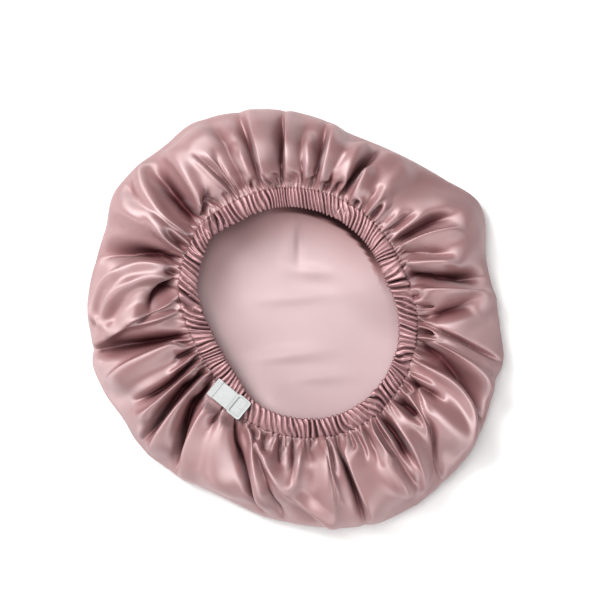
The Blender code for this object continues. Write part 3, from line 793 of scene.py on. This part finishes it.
def crown_painted_shade(bearing, share):
    """How much painted shade the crown gets in its folds and pleats, from how deep they lie."""
    on_top = smooth_step(DARK_BEGINS, share) * (1 - smooth_step(DARK_ENDS, share))
    near_band = 1 - DARK_LOST * smooth_step(DARK_WEAKENS, share)
    folds = fold_relief(bearing, np.clip(share, 0, 1))[0]
    pleats = gather_relief(bearing, np.clip(share, 0, 1))
    # painted shade: darker the deeper the fold or pleat lies
    painted_shade = np.clip(-folds / FOLD_SHADE_DEPTH, 0, 1) ** PAINTED_SHADE_POWER + np.clip(-pleats / PLEAT_SHADE_DEPTH, 0, 1)
    return on_top * near_band * painted_shade


def crease_relief(points):
    """Soft creases in the lining where it lies on the floor."""
    lift = np.zeros(points.shape[:-1])
    for crease in LINING_CREASES:
        turn = math.radians(crease.bearing_deg)
        x, y = points[..., 0] / MM - crease.x_mm, points[..., 1] / MM - crease.y_mm
        along = (x * math.cos(turn) + y * math.sin(turn)) / crease.length_mm
        across = (y * math.cos(turn) - x * math.sin(turn)) / crease.width_mm
        lift += crease.height_mm * MM * np.exp(-(along**2) - across**2)
    return lift


def lining_relief(bearing, share):
    pleats = LINING_PLEAT * ripple(bearing, share, LINING_PLEATS)
    lift = pleats * smooth_step(LINING_PLEATS_BEGIN, share) * (1 - smooth_step(LINING_PLEATS_END, share))
    return lift, np.zeros(lift.shape)


def lining_surface(bearing, share):
    """The lining hangs from the band, sags clear of the crown's folds, and lies on the floor, where
    it swells up towards the band."""
    floor = CROWN_WALL + LAYER_GAP + LINING_WALL / 2
    hem = band_underside(bearing) - 2 * LAYER_GAP - CROWN_WALL - LINING_WALL / 2
    points = cloth_on_section(bearing, share, LINING_SECTION, floor, hem, hem, lining_relief)
    soft = ripple(points[..., 0] * SOFT_DEG_A_METRE, points[..., 1] * SOFT_TURN_A_METRE, LINING_SOFT)
    soft = SOFTNESS * (1 + soft / SOFT_CALMED)
    points[..., 2] += (crease_relief(points) + soft) * smooth_step(CREASES_BEGIN, share)
    points[..., 2] -= SAG * smooth_step(SAG_BEGINS, share) * (1 - smooth_step(SAG_ENDS, share))
    off = past_inner_edge(points, bearing)
    swell = around(LINING_SWELLS, "height_mm", bearing) * MM * np.exp(-((off / SWELL_REACH) ** 2))
    points[..., 2] += swell * smooth_step(SWELL_BEGINS, share)
    return points


def lining_painted_shade(bearing, share):
    """How much painted shadow and painted shade the lining gets near the shaded side of the band."""
    off = past_inner_edge(lining_surface(bearing, share), bearing)
    painted_shade = np.zeros(off.shape)
    for shade in LINING_SHADES:
        on_side = np.exp(-((turn_from(shade.bearing_deg, bearing) / shade.spread_deg) ** 4))
        depth = shade.depth * smooth_step((shade.start_mm * MM, shade.full_mm * MM), off)
        painted_shade = np.maximum(painted_shade, on_side * depth)
    return painted_shade


def casing_corner(corner):
    """Across and up on the band's section, from -1 to 1, at a point round it. The points run from
    its outer edge over its top."""
    turn = corner / BAND_TURNS * 2 * math.pi
    cos, sin = np.cos(turn), np.sin(turn)
    return cos, sin, np.sign(cos) * np.abs(cos) ** SIDE_SQUARE, np.sign(sin) * np.abs(sin) ** TOP_SQUARE


def band_surface(bearing, corner):
    """The ruched casing's skin, with the places where it is twisted or kinked up."""
    cos, sin, side, top = casing_corner(corner)
    half = band_half_width(bearing)
    out = side * (half - CASING_SIDE)
    up = top * (BAND_THICKNESS / 2 - CASING_TOP)
    across = out / half
    phase = ruche_at(bearing, across)
    depth = around(RUCHES, "depth_mm", bearing) * each_ruche(phase, RUCHE_DEPTHS) * MM
    splits = each_ruche(phase, RUCHE_SPLITS)
    split = splits * smooth_step(SPLIT_ACROSS, across * each_ruche(phase, SPLIT_SIDES))
    broad = smooth_step(SPLIT_PITCH_DEG, around(RUCHES, "pitch_deg", bearing))
    off_middle = phase - np.floor(phase) - 0.5
    groove = broad * np.maximum(split, 0) * np.exp(-((off_middle / SPLIT_WIDTH) ** 2))
    ruche = hump(phase) ** RUCHE_ROUND - groove
    fine = FINE_RUCHE_MM * ripple(bearing, across, FINE_RUCHES) * MM
    on_top = smooth_step(TOP_BEGINS, sin)
    push = on_top * (depth * (ruche - RUCHE_LEVEL) + fine)
    out = out + push * cos
    up = up + push * np.maximum(sin, 0) + TOP_RISE * on_top
    lift, roll = 0 * bearing, 0 * bearing
    for kink in KINKS:
        near = np.exp(-((turn_from(kink.bearing_deg, bearing) / kink.spread_deg) ** 2))
        lift = lift + kink.lift_mm * MM * near
        roll = roll + np.radians(kink.roll_deg) * near
    lift = lift + np.abs(np.sin(roll)) * half * KINK_HUMP
    middle = band_underside(bearing) + BAND_THICKNESS / 2 - CASING_SEAT
    turned_out = out * np.cos(roll) - up * np.sin(roll)
    turned_up = out * np.sin(roll) + up * np.cos(roll)
    return at_bearing(bearing, band_middle(bearing) + turned_out, middle + turned_up + lift)


def band_painted_shade(bearing, corner):
    """How much painted shade the casing gets in the grooves between its ruches."""
    side = casing_corner(corner)[2]
    phase = ruche_at(bearing, side)
    depth = each_ruche(phase, RUCHE_DEPTHS) / RUCHE_DEPTHS.high
    return depth * np.clip(RUCHE_PAINTED_SHADE - RUCHE_PAINTED_SHADE_FADES * hump(phase), 0, 1)


def new_mesh(name, bm):
    mesh = bpy.data.meshes.new(name)
    bm.to_mesh(mesh)
    bm.free()
    return mesh


def new_object(name, data):
    obj = bpy.data.objects.new(name, data)
    bpy.context.scene.collection.objects.link(obj)
    return obj


def rolled_grid(name, columns, rows, surface, painted_shade, flat_radius=None):
    """A flat grid rolled round the opening: its columns become bearings, and its rows go where
    surface says. painted_shade says how much painted shade the cloth gets, from 0 to 1, kept as a
    mesh attribute. flat_radius lays it out flat again, as the cloth was cut, for its UV map."""
    bm = bmesh.new()
    bmesh.ops.create_grid(bm, x_segments=columns, y_segments=len(rows) - 1, size=0.5)
    mesh = new_mesh(name, bm)
    flat = np.empty(len(mesh.vertices) * 3)
    mesh.vertices.foreach_get("co", flat)
    flat = flat.reshape(-1, 3)
    bearing = (flat[:, 0] + 0.5) * 360
    share = np.array(rows)[np.rint((flat[:, 1] + 0.5) * (len(rows) - 1)).astype(int)]
    mesh.vertices.foreach_set("co", surface(bearing, share).ravel())
    # how much painted shade each point gets
    depth = np.clip(painted_shade(bearing, share), 0, 1)
    mesh.attributes.new("painted_shade", "FLOAT", "POINT").data.foreach_set("value", depth)
    if flat_radius:
        corner = np.empty(len(mesh.loops), int)
        mesh.loops.foreach_get("vertex_index", corner)
        turn, reach = np.radians(bearing), flat_radius(share)
        laid = np.stack([reach * np.cos(turn), reach * np.sin(turn)], axis=-1)
        mesh.uv_layers.new(name="cloth").data.foreach_set("uv", laid[corner].ravel())
    bm = bmesh.new()
    bm.from_mesh(mesh)
    bmesh.ops.remove_doubles(bm, verts=bm.verts, dist=WELD_DISTANCE)
    bmesh.ops.recalc_face_normals(bm, faces=bm.faces)
    bm.to_mesh(mesh)
    bm.free()
    mesh.shade_smooth()
    return mesh


class Finish:
    """A material that is built up from nodes."""

    def __init__(self, name, colour, roughness, **sockets):
        self.material = bpy.data.materials.new(name)
        self.material.use_nodes = True
        self.tree = self.material.node_tree
        self.shader = self.tree.nodes["Principled BSDF"]
        self.colour = colour
        self.shader.inputs["Base Color"].default_value = (*colour, 1)
        self.shader.inputs["Roughness"].default_value = roughness
        for socket, value in sockets.items():
            self.shader.inputs[socket.replace("_", " ")].default_value = value
        self.place = self.node("ShaderNodeTexCoord").outputs["Object"]
        self.height = None

    def link(self, from_socket, to_socket):
        self.tree.links.new(from_socket, to_socket)

    def node(self, kind, **settings):
        made = self.tree.nodes.new(kind)
        for key, value in settings.items():
            setattr(made, key, value)
        return made

    def noise(self, scale, detail, stretch=(1, 1, 1)):
        """Noise in the piece's own space. scale is how often it changes in a metre."""
        mapping = self.node("ShaderNodeMapping")
        mapping.inputs["Scale"].default_value = stretch
        made = self.node("ShaderNodeTexNoise")
        made.inputs["Scale"].default_value = scale
        made.inputs["Detail"].default_value = detail
        self.link(self.place, mapping.inputs["Vector"])
        self.link(mapping.outputs["Vector"], made.inputs["Vector"])
        return made.outputs["Fac"]

    def map_range(self, value, **sockets):
        """One number turned evenly into another: From_Min to From_Max becomes To_Min to To_Max."""
        made = self.node("ShaderNodeMapRange")
        for socket, limit in sockets.items():
            made.inputs[socket.replace("_", " ")].default_value = limit
        self.link(value, made.inputs["Value"])
        return made.outputs["Result"]

    def paint(self, factor, darker, lighter):
        """The base colour, varied between these shares of it."""
        ramp = self.node("ShaderNodeValToRGB")
        shares = ((NOISE_LOW, darker), (NOISE_HIGH, lighter))
        for element, (at, share) in zip(ramp.color_ramp.elements, shares):
            element.position = at
            element.color = (*[min(1, part * share) for part in self.colour], 1)
        self.link(factor, ramp.inputs["Fac"])
        self.link(ramp.outputs["Color"], self.shader.inputs["Base Color"])

    def polish(self, factor, low, high):
        rough = self.map_range(factor, From_Min=NOISE_LOW, From_Max=NOISE_HIGH, To_Min=low, To_Max=high)
        self.link(rough, self.shader.inputs["Roughness"])

    def bump(self, height, distance, strength):
        made = self.node("ShaderNodeBump")
        made.inputs["Distance"].default_value = distance
        made.inputs["Strength"].default_value = strength
        self.link(height, made.inputs["Height"])
        if self.height:
            self.link(self.height, made.inputs["Normal"])
        self.height = made.outputs["Normal"]
        self.link(self.height, self.shader.inputs["Normal"])

    def threads(self, uv_map):
        """The direction that the cloth's threads run in, for its sheen."""
        tangent = self.node("ShaderNodeTangent", direction_type="UV_MAP", uv_map=uv_map)
        self.link(tangent.outputs["Tangent"], self.shader.inputs["Tangent"])

    def shade(self, *shaded_colours):
        """Painted shade: where the mesh's painted_shade attribute is high, the colour is painted darker
        and the cloth shines less. shaded_colours are its colours from there on down, at equal steps of
        that amount."""
        painted_shade = self.node("ShaderNodeAttribute", attribute_name="painted_shade").outputs["Fac"]
        for step, colour in enumerate(shaded_colours):
            start, stop = step / len(shaded_colours), (step + 1) / len(shaded_colours)
            mix = self.node("ShaderNodeMix", data_type="RGBA")
            painted = self.shader.inputs["Base Color"].links[0].from_socket
            reached = self.map_range(painted_shade, From_Min=start, From_Max=stop)
            self.link(reached, mix.inputs["Factor"])
            self.link(painted, mix.inputs[6])
            mix.inputs[7].default_value = (*colour, 1)
            self.link(mix.outputs[2], self.shader.inputs["Base Color"])
        shine = self.map_range(painted_shade, To_Min=OPEN_SHINE, To_Max=SHADED_SHINE)
        self.link(shine, self.shader.inputs["Specular IOR Level"])


def satin(name, colour, roughness, **sockets):
    """Satin: a smooth face of long floats with a soft directional shine."""
    made = Finish(name, colour, roughness, **sockets)
    made.paint(made.noise(scale=9, detail=2), 0.95, 1.05)
    made.polish(made.noise(scale=60, detail=2), roughness - 0.03, roughness + 0.04)
    made.bump(made.noise(scale=420, detail=1), 0.05 * MM, strength=0.25)
    made.bump(made.noise(scale=2600, detail=1, stretch=(1, 3.5, 1)), 0.02 * MM, strength=0.35)
    return made


def rose_satin():
    made = satin("rose satin", ROSE, 0.6, Metallic=0.1, Anisotropic=0.75, IOR=2.8)
    made.threads("cloth")
    # painted shade in the crown's folds and pleats
    made.shade(ROSE_PAINTED_SHADE)
    return made


def ruched_satin():
    made = satin("rose satin ruches", RUCHED_ROSE, 0.50, Metallic=0.5, IOR=1.6)
    # painted shade between the ruches
    made.shade(RUCHED_ROSE_PAINTED_SHADE)
    return made


def pale_satin():
    made = satin("pale rose lining", PALE_ROSE, 0.55, Sheen_Weight=0.1)
    # painted shade on the lining, half dark and full dark
    made.shade(PALE_ROSE_SHADED, PALE_ROSE_PAINTED_SHADOW)
    return made


def white_elastic():
    made = Finish("white elastic", ELASTIC_WHITE, 0.75)
    made.paint(made.noise(scale=300, detail=2), 0.96, 1.02)
    made.bump(made.noise(scale=1800, detail=2, stretch=(1, 3, 1)), 0.1 * MM, strength=0.5)
    return made


def white_plastic():
    made = Finish("white plastic", PLASTIC_WHITE, 0.36)
    made.paint(made.noise(scale=120, detail=2), 0.98, 1.01)
    made.polish(made.noise(scale=500, detail=2), 0.28, 0.38)
    return made


def pale_floor():
    made = Finish("pale floor", FLOOR_WHITE, 0.9)
    made.paint(made.noise(scale=3, detail=2), 0.995, 1.005)
    return made


def add_piece(name, mesh, finish, slot, *nodes):
    obj = new_object(name, mesh)
    obj.data.materials.append(finish.material)
    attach(obj, "root")
    if nodes:
        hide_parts(*nodes)
    return obj


def laid_flat(rim_mm, floor_mm):
    """Where each row of a bag of cloth lies on the disc that it is cut from."""

    def radius(share):
        wall, floor = np.clip(share, 0, 1), np.clip(share - 1, 0, 1)
        return (rim_mm - (rim_mm - floor_mm) * wall - floor_mm * floor) * MM

    return radius


def crown(finish):
    disc = laid_flat(*CROWN_DISC_MM)
    mesh = rolled_grid("crown_satin", CROWN_COLUMNS, CROWN_ROWS, crown_surface, crown_painted_shade, disc)
    piece = add_piece("crown_satin", mesh, finish, "rose_satin", "crown")


def lining(finish):
    disc = laid_flat(*LINING_DISC_MM)
    mesh = rolled_grid("lining_satin", LINING_COLUMNS, LINING_ROWS, lining_surface, lining_painted_shade, disc)
    piece = add_piece("lining_satin", mesh, finish, "pale_satin", "lining")


def band(finish):
    mesh = rolled_grid("band_ruches", BAND_COLUMNS, range(BAND_TURNS + 1), band_surface, band_painted_shade)
    add_piece("band_ruches", mesh, finish, "rose_satin", "band")


def strap_frame():
    """Where the strap lies: on top of the band's ribs, across the outer half of the band."""
    x, y = STRAP_MIDDLE[0] - OPENING_CENTRE[0], STRAP_MIDDLE[1] - OPENING_CENTRE[1]
    bearing = math.degrees(math.atan2(y, x))
    height = float(band_underside(bearing)) + BAND_THICKNESS + STRAP_CLEARANCE
    middle = Vector((*STRAP_MIDDLE, height + SLIDER_THICKNESS / 2))
    return Matrix.Translation(middle) @ Matrix.Rotation(math.radians(STRAP_BEARING), 4, "Z")


def strap_sheet(name, start, stop, width, rise):
    """A stretch of flat elastic along the strap, with its long ribs. rise is its middle's height."""
    bm = bmesh.new()
    bmesh.ops.create_grid(bm, x_segments=STRAP_COLUMNS, y_segments=RIB_COUNT * POINTS_A_RIB, size=0.5)
    for vert in bm.verts:
        x = start + (vert.co.x + 0.5) * (stop - start)
        rib = RIB_HEIGHT * abs(math.cos(vert.co.y * RIB_COUNT * math.pi))
        cross = THREAD_HEIGHT * math.sin(x / THREAD_PITCH * 2 * math.pi)
        vert.co = (x, vert.co.y * width, rise(x) + rib + cross)
    mesh = new_mesh(name, bm)
    mesh.shade_smooth()
    return mesh


def strap(finish):
    """Doubled elastic: the strap itself, with its end folded back over it and sewn down."""
    half = STRAP_LENGTH / 2
    drop = (SLIDER_THICKNESS - STRAP_THICKNESS) / 2
    fold_stop = -half + STRAP_FOLD_LENGTH
    climb = (fold_stop, half - SLIDER_LENGTH - STRAP_LEVELS_OUT)

    def rise(x):
        return -drop * (1 - smooth_step(climb, x))

    def fold_rise(_):
        return END_FOLD_RISE - drop

    long = strap_sheet("strap_elastic", -half, half - SLIDER_OVERHANG, STRAP_WIDTH, rise)
    fold = strap_sheet("strap_fold", -half - END_FOLD_PAST, fold_stop, STRAP_END_WIDTH, fold_rise)
    for mesh, thickness in ((long, STRAP_THICKNESS), (fold, END_FOLD_THICKNESS)):
        obj = add_piece(mesh.name, mesh, finish, "white_elastic", "strap")
        obj.matrix_world = strap_frame()
        wall = obj.modifiers.new("Wall", "SOLIDIFY")
        wall.thickness = thickness
        wall.offset = 0
        edge = obj.modifiers.new("Edge", "BEVEL")
        edge.width = STRAP_EDGE
        edge.segments = 3
        edge.limit_method = "ANGLE"
        edge.angle_limit = math.radians(60)


def block(name, size, corner=0.0, edge=0.0):
    """A block with round upright corners and soft edges."""
    bm = bmesh.new()
    bmesh.ops.create_cube(bm, size=1)
    bmesh.ops.scale(bm, verts=bm.verts, vec=size)
    if corner:
        upright = [e for e in bm.edges if abs(e.verts[0].co.z - e.verts[1].co.z) > size[2] / 2]
        bmesh.ops.bevel(bm, geom=upright, offset=corner, segments=10, profile=0.5, affect="EDGES")
    if edge:
        rims = [e for e in bm.edges if e.calc_face_angle(0) > math.radians(60)]
        bmesh.ops.bevel(bm, geom=rims, offset=edge, segments=4, profile=0.5, affect="EDGES")
    return new_mesh(name, bm)


def cut_out(obj, name, mesh, place):
    """Takes a block out of a piece."""
    cutter = new_object(name, mesh)
    cutter.matrix_world = place
    cut = obj.modifiers.new(name, "BOOLEAN")
    cut.operation = "DIFFERENCE"
    cut.object = cutter
    bpy.context.view_layer.update()
    whole = bpy.data.meshes.new_from_object(obj.evaluated_get(bpy.context.evaluated_depsgraph_get()))
    obj.modifiers.remove(cut)
    obj.data = whole
    bpy.data.objects.remove(cutter)


def slider(finish):
    """A moulded slide with a raised rim round its face, a slot for the strap, and a round mark."""
    middle = (STRAP_LENGTH - SLIDER_LENGTH) / 2
    place = strap_frame() @ Matrix.Translation((middle, 0, 0))
    size = (SLIDER_LENGTH, SLIDER_WIDTH, SLIDER_THICKNESS)
    mesh = block("slider_plastic", size, SLIDER_CORNER, SLIDER_EDGE)
    obj = add_piece("slider_plastic", mesh, finish, "white_plastic", "slider")
    obj.matrix_world = place
    slot = (2 * SLIDER_LENGTH, STRAP_WIDTH + 2 * SLOT_GAP, STRAP_THICKNESS + 2 * SLOT_GAP)
    cut_out(obj, "slot", block("slot", slot, 0.0, SLIDER_EDGE), place)
    recess = (SLIDER_LENGTH - 2 * SLIDER_RIM, SLIDER_WIDTH - 2 * SLIDER_RIM, 2 * SLIDER_RECESS)
    face = Matrix.Translation((0, 0, SLIDER_THICKNESS / 2))
    cut_out(obj, "recess", block("recess", recess, SLIDER_CORNER / 2), place @ face)
    bm = bmesh.new()
    bm.from_mesh(obj.data)
    level = SLIDER_THICKNESS / 2 - SLIDER_RECESS
    for radius, height in ((MARK_RADIUS, MARK_HEIGHT), (MARK_RADIUS - MARK_RING, 2 * MARK_HEIGHT)):
        bmesh.ops.create_cone(
            bm,
            cap_ends=True,
            segments=32,
            radius1=radius,
            radius2=radius - MARK_HEIGHT,
            depth=height,
            matrix=Matrix.Translation((MARK_OFFSET, 0, level)),
        )
    bm.to_mesh(obj.data)
    bm.free()
    for polygon in obj.data.polygons:
        polygon.use_smooth = True
    bpy.context.view_layer.objects.active = obj
    smooth = obj.modifiers.new("Normals", "WEIGHTED_NORMAL")
    smooth.keep_sharp = True


def area_light(name, bearing, elevation, size, power):
    lamp = bpy.data.lights.new(name, "AREA")
    lamp.energy = power
    lamp.size = size
    obj = new_object(name, lamp)
    flat, up = math.radians(bearing), math.radians(elevation)
    away = Vector((math.cos(flat) * math.cos(up), math.sin(flat) * math.cos(up), math.sin(up)))
    obj.location = away * LIGHT_DISTANCE
    obj.rotation_euler = away.to_track_quat("Z", "Y").to_euler()


def camera_above():
    """A camera that looks straight down, with the photograph's frame."""
    lens = bpy.data.cameras.new("camera")
    lens.sensor_fit = "HORIZONTAL"
    lens.sensor_width = SENSOR_WIDTH_MM
    distance = CAMERA_HEIGHT - IN_SCALE_HEIGHT
    lens.lens = SENSOR_WIDTH_MM * distance / (IMAGE_WIDTH * MM_PER_PIXEL * MM)
    lens.clip_end = CLIP_END
    camera = new_object("camera", lens)
    camera.location = (*FRAME_CENTRE, CAMERA_HEIGHT)
    bpy.context.scene.camera = camera


def stage():
    """A pale floor, soft light and the camera."""
    bm = bmesh.new()
    bmesh.ops.create_grid(bm, x_segments=1, y_segments=1, size=FLOOR_SIZE)
    floor = new_object("floor", new_mesh("floor", bm))
    floor.data.materials.append(pale_floor().material)
    for light in LIGHTS:
        area_light(*light)
    world = bpy.data.worlds.new("studio")
    world.use_nodes = True
    background = world.node_tree.nodes["Background"]
    background.inputs["Color"].default_value = (1, 1, 1, 1)
    background.inputs["Strength"].default_value = SURROUNDINGS
    bpy.context.scene.world = world
    camera_above()
    bpy.context.scene.view_settings.view_transform = "Standard"
    bpy.context.scene.view_settings.look = "High Contrast"


def main():
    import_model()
    stage()
    crown(rose_satin())
    lining(pale_satin())
    band(ruched_satin())
    strap(white_elastic())
    slider(white_plastic())


main()
